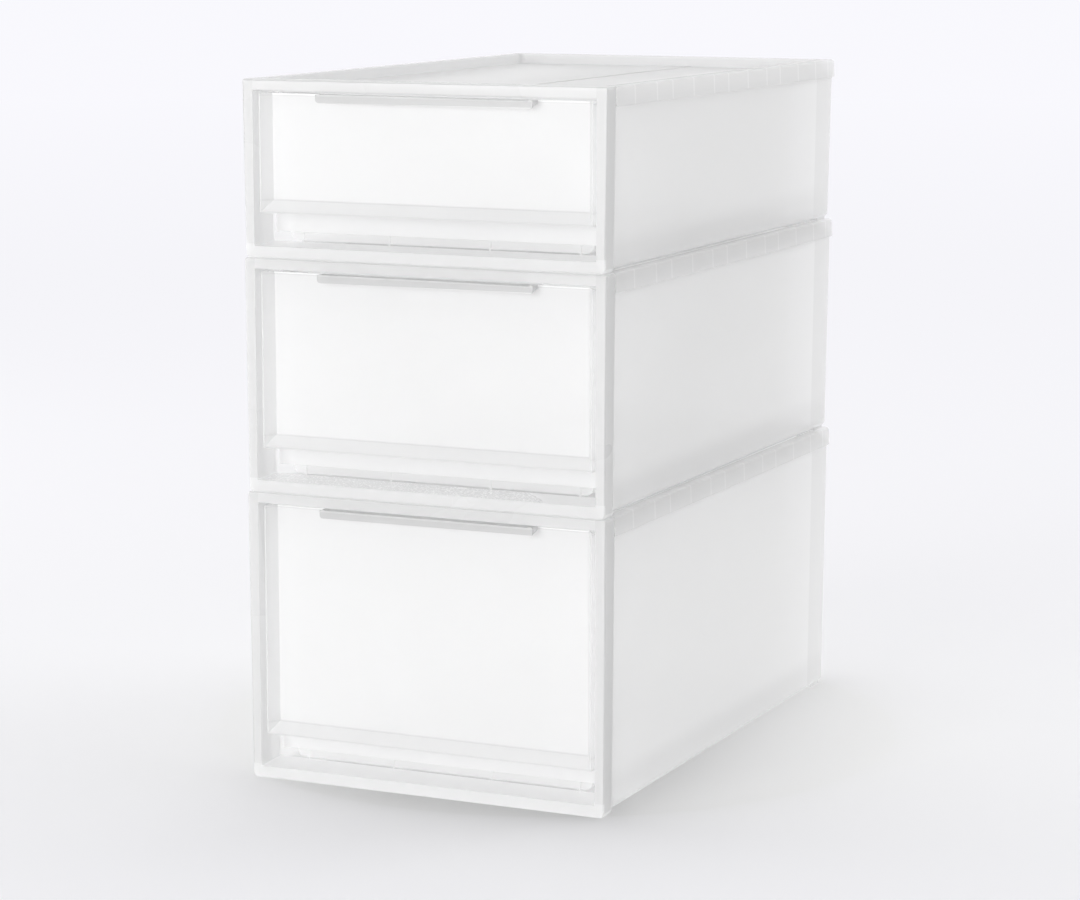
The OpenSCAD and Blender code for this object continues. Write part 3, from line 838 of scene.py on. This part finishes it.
@dataclass
class StorageCase:
    """One case of the stack: body, top panel, front frame, and the drawer in it."""

    tier: Tier
    frame_side_w: float = 12.0 * MM
    flank_d: float = 2.0 * MM
    sill_top: float = 14.5 * MM
    rim_w: float = 12.0 * MM
    lip_h: float = 6.0 * MM
    lip_w: float = 238.0 * MM
    lip_drop: float = 2.2 * MM
    lip_wall_d: float = 2.9 * MM
    lip_plate_h: float = 3.55 * MM
    lip_reach: float = 12.0 * MM
    bead_h: float = 2.6 * MM
    apron_h: float = 21.5 * MM
    ledge_bevel_h: float = 12.7 * MM
    edge_line: float = 1.9 * MM
    slack: float = 0.3 * MM

    def build(self, frame: dict, finishes: Finishes) -> None:
        """Dress the case's mouldings.

        Args:
            finishes: The plastics.
        """
        nodes = {part: frame["nodes"][node_name(self.tier, part)] for part in Moulding}
        finishes.dress(nodes[Moulding.CASE_BODY], Zone.BODY_WALL)
        finishes.dress(nodes[Moulding.DRAWER_TUB], Zone.TUB_WALL)
        self.top_panel(nodes[Moulding.TOP_PANEL], finishes)
        self.front_frame(nodes[Moulding.FRONT_FRAME], finishes)
        self.drawer_front(nodes[Moulding.DRAWER_FRONT], finishes)

    def top_panel(self, node: bpy.types.Object, finishes: Finishes) -> None:
        """Replace the top panel by a softened copy whose thin rim passes more light.

        Args:
            node: The CAD node.
            finishes: The plastics.
        """
        _, high = extent(node)
        side, rear = high.x - self.rim_w, high.y - self.rim_w
        borders = [Border("x", -side), Border("x", side), Border("y", rear)]
        piece = SoftEdge(radius=0.4 * MM).copy_of(node, f"{self.tier.value}_tray_moulding", borders)

        def zone(face: bpy.types.MeshPolygon) -> Zone:
            """Which zone of the panel a face lies in."""
            beside, behind = abs(face.center.x) > side, face.center.y > rear
            towards_middle = face.normal.x * face.center.x < 0.0 and abs(face.normal.x) > 0.6
            # Inward-facing rim walls get painted light, the lid painted shade
            if beside and towards_middle or behind and face.normal.y < -0.6:
                return Zone.TRAY_WELL
            return Zone.TRAY_RIM if beside or behind else Zone.TRAY_LID

        finishes.dress_by(piece, [Zone.TRAY_LID, Zone.TRAY_RIM, Zone.TRAY_WELL], zone)
        self.stand_for(piece, node, "case")

    def front_frame(self, node: bpy.types.Object, finishes: Finishes) -> None:
        """Replace the front frame by a softened copy with denser side members.

        Args:
            node: The CAD node.
            finishes: The plastics.
        """
        low, high = extent(node)
        side, sill = high.x - self.frame_side_w, low.z + self.sill_top
        borders = [Border("x", -side), Border("x", side), Border("z", sill)]
        piece = SoftEdge(radius=0.6 * MM).copy_of(
            node, f"{self.tier.value}_frame_moulding", borders)

        def zone(face: bpy.types.MeshPolygon) -> Zone:
            """Which zone of the frame a face lies in."""
            across, height = abs(face.center.x), face.center.z
            # Outer side faces get painted shade
            if abs(face.normal.x) > 0.6 and across > high.x - self.flank_d:
                return Zone.FRAME_FLANKS
            if height < sill:
                # The sill's upward face gets painted light
                return Zone.SILL_TOP if face.normal.z > 0.9 and across < side else Zone.FRAME_SILL
            return Zone.FRAME_SIDES if across > side else Zone.FRAME_RAILS

        zones = [Zone.FRAME_RAILS, Zone.FRAME_SIDES, Zone.FRAME_SILL, Zone.FRAME_FLANKS,
                 Zone.SILL_TOP]
        finishes.dress_by(piece, zones, zone)
        self.stand_for(piece, node, "case")

    def drawer_front(self, node: bpy.types.Object, finishes: Finishes) -> None:
        """Replace the drawer front by a softened copy with a deeper pull lip, darker with denser
        plastic and painted shade.

        Args:
            node: The CAD node.
            finishes: The plastics.
        """
        low, high = extent(node)
        line, half = self.edge_line, self.edge_line / 2
        ledge, bead = low.z + self.apron_h, high.z - self.bead_h
        bevel_top = ledge + self.ledge_bevel_h
        lip_x, lip_y = self.lip_w / 2 + 0.2 * MM, low.y + self.lip_reach
        lip_foot = high.z - self.lip_h

        def lower_lip(shape: bmesh.types.BMesh) -> None:
            """Lower the pull lip's front wall to the height that the photograph shows."""
            wall = [v for v in shape.verts
                    if v.co.y < low.y + self.lip_wall_d and abs(v.co.x) < lip_x
                    and lip_foot - 1.0 * MM < v.co.z < high.z - self.lip_plate_h]
            bmesh.ops.translate(shape, verts=wall, vec=(0.0, 0.0, -self.lip_drop))

        def zone(face: bpy.types.MeshPolygon) -> Zone:
            """Which zone of the drawer front a face lies in."""
            spot = face.center
            in_lip = abs(spot.x) < lip_x and spot.y < lip_y
            # Pull lip: partly denser plastic, partly painted shade
            if in_lip and spot.z > lip_foot - self.lip_drop - self.slack:
                on_plate = spot.z > bead or abs(face.normal.x) > 0.6
                return Zone.PULL_PLATE if on_plate else Zone.PULL_LIP
            if spot.z < ledge:
                return Zone.FRONT_APRON
            # Thin dark lines of painted shade
            if (ledge < spot.z < ledge + line or abs(spot.z - bevel_top) < half
                    or bead - half < spot.z < bead):
                return Zone.FRONT_EDGE
            # A bright strip of painted light
            if spot.z > bead and abs(spot.x) > lip_x and spot.y > lip_y:
                return Zone.PANEL_BEAD
            return Zone.FRONT_PANEL

        heights = (ledge, ledge + line, bevel_top - half, bevel_top + half, bead - half, bead)
        borders = [Border("x", -lip_x), Border("x", lip_x), *(Border("z", z) for z in heights)]
        piece = SoftEdge(radius=0.5 * MM).copy_of(
            node, f"{self.tier.value}_front_moulding", borders, lower_lip)
        zones = [Zone.FRONT_PANEL, Zone.FRONT_EDGE, Zone.FRONT_APRON, Zone.PANEL_BEAD,
                 Zone.PULL_LIP, Zone.PULL_PLATE]
        finishes.dress_by(piece, zones, zone)
        self.stand_for(piece, node, "drawer")

    def stand_for(self, piece: bpy.types.Object, node: bpy.types.Object, body: str) -> None:
        """Put a new piece in the place of a CAD node.

        Args:
            piece: The new piece.
            node: The node that it replaces.
            body: The last word of the body that it moves with.
        """
        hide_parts(node.name)
        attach(piece, f"{self.tier.value}_{body}")
        LOG.info("%s stands for %s, %d faces", piece.name, node.name, len(piece.data.polygons))


# ---------------------------------------------------------------- studio


@dataclass(frozen=True)
class Softbox:
    """A square lamp: where it hangs, what it faces, its side in metres and its watts."""

    name: str
    place: Tone
    aim: Tone
    size: float
    power: float

    def hang(self) -> None:
        """Hang the lamp in the scene."""
        data = bpy.data.lights.new(self.name, "AREA")
        data.shape = "SQUARE"
        data.size = self.size
        data.energy = self.power
        box = bpy.data.objects.new(self.name, data)
        box.location = self.place
        turn = (Vector(self.aim) - Vector(self.place)).to_track_quat("-Z", "Y")
        box.rotation_euler = turn.to_euler()
        bpy.context.scene.collection.objects.link(box)


STACK_MIDDLE = (0.0, 0.0, 0.36)
SOFTBOXES = (
    Softbox("front_softbox", (-2.1, -8.8, 1.5), STACK_MIDDLE, size=4.2, power=438.0),
    Softbox("back_softbox", (-1.6, 3.0, 2.4), STACK_MIDDLE, size=2.4, power=4.0),
    Softbox("left_softbox", (-3.2, 0.4, 0.8), STACK_MIDDLE, size=1.8, power=24.0),
    Softbox("right_softbox", (2.2, 2.4, 2.8), (0.0, 0.0, 0.2), size=1.8, power=24.0),
)


@dataclass(frozen=True)
class Shade:
    """A painted shadow on the floor beside the stack: how dark it starts and how soon it fades."""

    depth: float
    reach: float


@dataclass
class Studio:
    """Pale floor, soft light and the camera."""

    near_tone: Tone = (0.965, 0.965, 0.965)
    far_tone: Tone = (0.946, 0.942, 0.985)
    passed_tone: Tone = (0.955, 0.954, 0.957)
    surround_tone: Tone = (0.997, 0.998, 1.0)
    surround: dict[str, float] = field(default_factory=lambda: {
        "even": 1.23, "overhead": -0.57, "left": -0.62, "right": -0.52, "back": 0.43,
        "front": -0.26, "horizon": 0.2})
    floor_radius: float = 60.0
    fade_from: float = 0.37
    fade_to: float = 12.0
    fade_power: float = 0.42
    footprint: Tone = (0.188, 0.318, 0.0)
    footprint_shift: Tone = (0.0, 0.005, 0.0)
    # Painted shadow on the floor, for camera rays only: a narrow one round the stack that fades out
    # towards its left, and a broad one towards its front right
    painted_contact_shadow: Shade = Shade(depth=0.14, reach=0.05)
    painted_wide_shadow: Shade = Shade(depth=0.175, reach=0.24)
    lens: float = 110.03
    viewpoint: Tone = (1.4555, -3.2245, 0.8898)
    look_down: float = 0.1631
    look_left: float = 0.4291

    def floor(self) -> None:
        """Lay a round pale floor that fades into the background further out."""
        shape = bmesh.new()
        bmesh.ops.create_circle(shape, cap_ends=True, segments=96, radius=self.floor_radius)
        mesh = bpy.data.meshes.new("studio_floor")
        shape.to_mesh(mesh)
        shape.free()
        plane = bpy.data.objects.new("studio_floor", mesh)
        bpy.context.scene.collection.objects.link(plane)
        material = bpy.data.materials.new("pale_floor")
        material.use_nodes = True
        tree = material.node_tree
        tree.nodes.clear()
        sheet = Sheet(tree)
        output = sheet.add("ShaderNodeOutputMaterial")
        path = sheet.add("ShaderNodeLightPath").outputs
        place = sheet.place()
        paper = sheet.add("ShaderNodeBsdfDiffuse")
        sheet.wire(self._paper_tone_and_painted_shadow(sheet, place, path["Is Camera Ray"]), paper.inputs["Color"])
        backing = sheet.add("ShaderNodeEmission", Strength=1.0)
        sheet.wire(self._backing_tone(sheet, path["Is Camera Ray"]), backing.inputs["Color"])
        log_reach = sheet.math("LOGARITHM", sheet.vector("LENGTH", place), math.e)
        share = sheet.add("ShaderNodeMapRange", From_Min=math.log(self.fade_from),
                          From_Max=math.log(self.fade_to))
        sheet.wire(log_reach, share.inputs["Value"])
        far = sheet.math("POWER", share.outputs["Result"], self.fade_power)
        seen = sheet.math("MAXIMUM", path["Is Camera Ray"], path["Is Glossy Ray"])
        seen = sheet.math("MAXIMUM", seen, path["Is Transmission Ray"])
        mixed = sheet.either(sheet.math("MULTIPLY", far, seen), paper.outputs["BSDF"],
                             backing.outputs["Emission"])
        sheet.wire(mixed, output.inputs["Surface"])
        mesh.materials.append(material)

    def _paper_tone_and_painted_shadow(self, sheet: Sheet, place: bpy.types.NodeSocket,
                    seen: bpy.types.NodeSocket) -> bpy.types.NodeSocket:
        """Tone of the floor's paper, with a painted shadow where it meets the stack's front and
        right side.

        Args:
            sheet: The sheet of the floor's tree.
            place: Position on the floor.
            seen: Whether the camera sees the floor itself.

        Returns:
            The socket with the colour.
        """
        centred = sheet.vector("ABSOLUTE", sheet.vector("ADD", place, self.footprint_shift))
        outside = sheet.vector("MAXIMUM", sheet.vector("SUBTRACT", centred, self.footprint))
        gap = sheet.vector("LENGTH", outside)
        beside = sheet.math("MULTIPLY", sheet.math("GREATER_THAN", gap, 0.2 * MM), seen)
        axes = sheet.parts(place)
        right = sheet.math("MULTIPLY", sheet.span(axes["X"], -0.30, 0.02), beside)
        front = sheet.math("MULTIPLY", sheet.span(axes["Y"], 0.20, -0.34), right)
        # Painted shadow: darker close to the stack's footprint, fading as the gap grows
        shade: bpy.types.NodeSocket | float = 0.0
        for part, where in ((self.painted_contact_shadow, right), (self.painted_wide_shadow, front)):
            fall = sheet.math("EXPONENT", sheet.math("DIVIDE", gap, -part.reach))
            depth = sheet.math("MULTIPLY", fall, part.depth)
            shade = sheet.math("ADD", sheet.math("MULTIPLY", depth, where), shade)
        return sheet.laid(self.near_tone, (0.0, 0.0, 0.0), shade)

    def _backing_tone(self, sheet: Sheet, seen: bpy.types.NodeSocket) -> bpy.types.NodeSocket:
        """Colour of the far background: cool as the camera sees it, neutral behind the plastic.

        Args:
            sheet: The sheet of the floor's or the world's tree.
            seen: Whether the camera sees the background itself.

        Returns:
            The socket with the colour.
        """
        return sheet.laid(self.passed_tone, self.far_tone, seen)

    def world(self) -> None:
        """Set the soft studio surround, with its own level towards each side."""
        world = bpy.data.worlds.new("studio_surround")
        bpy.context.scene.world = world
        world.use_nodes = True
        tree = world.node_tree
        tree.nodes.clear()
        sheet = Sheet(tree)
        output = sheet.add("ShaderNodeOutputWorld")
        facing = sheet.parts(sheet.add("ShaderNodeTexCoord").outputs["Generated"])
        level: bpy.types.NodeSocket | float = self.surround["even"]
        for side, axis, sign in (("overhead", "Z", 1.0), ("left", "X", -1.0), ("right", "X", 1.0),
                                 ("back", "Y", 1.0), ("front", "Y", -1.0)):
            towards = sheet.math("MAXIMUM", sheet.math("MULTIPLY", facing[axis], sign), 0.0)
            level = sheet.math("ADD", sheet.math("MULTIPLY", towards, self.surround[side]), level)
        low = sheet.span(facing["Z"], 0.0, 0.35, 1.0, 0.0)
        level = sheet.math("ADD", sheet.math("MULTIPLY", low, self.surround["horizon"]), level)
        surround = sheet.add("ShaderNodeBackground", Color=(*self.surround_tone, 1.0))
        sheet.wire(level, surround.inputs["Strength"])
        path = sheet.add("ShaderNodeLightPath").outputs
        backing = sheet.add("ShaderNodeBackground", Strength=1.0)
        sheet.wire(self._backing_tone(sheet, path["Is Camera Ray"]), backing.inputs["Color"])
        seen = sheet.math("MAXIMUM", path["Is Camera Ray"], path["Is Transmission Ray"])
        mixed = sheet.either(seen, surround.outputs["Background"], backing.outputs["Background"])
        sheet.wire(mixed, output.inputs["Surface"])

    def camera(self) -> None:
        """Set the camera at the viewpoint fitted to the photograph."""
        data = bpy.data.cameras.new("view")
        data.lens = self.lens
        data.sensor_width = 36.0
        data.sensor_fit = "HORIZONTAL"
        data.clip_end = 200.0
        camera = bpy.data.objects.new("view", data)
        camera.location = self.viewpoint
        camera.rotation_euler = (math.pi / 2 - self.look_down, 0.0, self.look_left)
        bpy.context.scene.collection.objects.link(camera)
        bpy.context.scene.camera = camera

    def build(self) -> None:
        """Set up the whole studio."""
        self.floor()
        self.world()
        for softbox in SOFTBOXES:
            softbox.hang()
        self.camera()
        scene = bpy.context.scene
        scene.view_settings.view_transform = "Standard"
        # Light goes from wall to wall many times inside milky cases
        scene.cycles.max_bounces = 32
        scene.cycles.diffuse_bounces = 20
        scene.cycles.transmission_bounces = 20
        scene.cycles.transparent_max_bounces = 32


def main() -> None:
    """Load the frame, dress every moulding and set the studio."""
    logging.basicConfig(level=logging.INFO, format="%(name)s: %(message)s")
    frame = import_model()
    Studio().build()
    finishes = Finishes()
    for tier in Tier:
        StorageCase(tier).build(frame, finishes)
    LOG.info("sizes written")


if __name__ == "__main__":
    main()
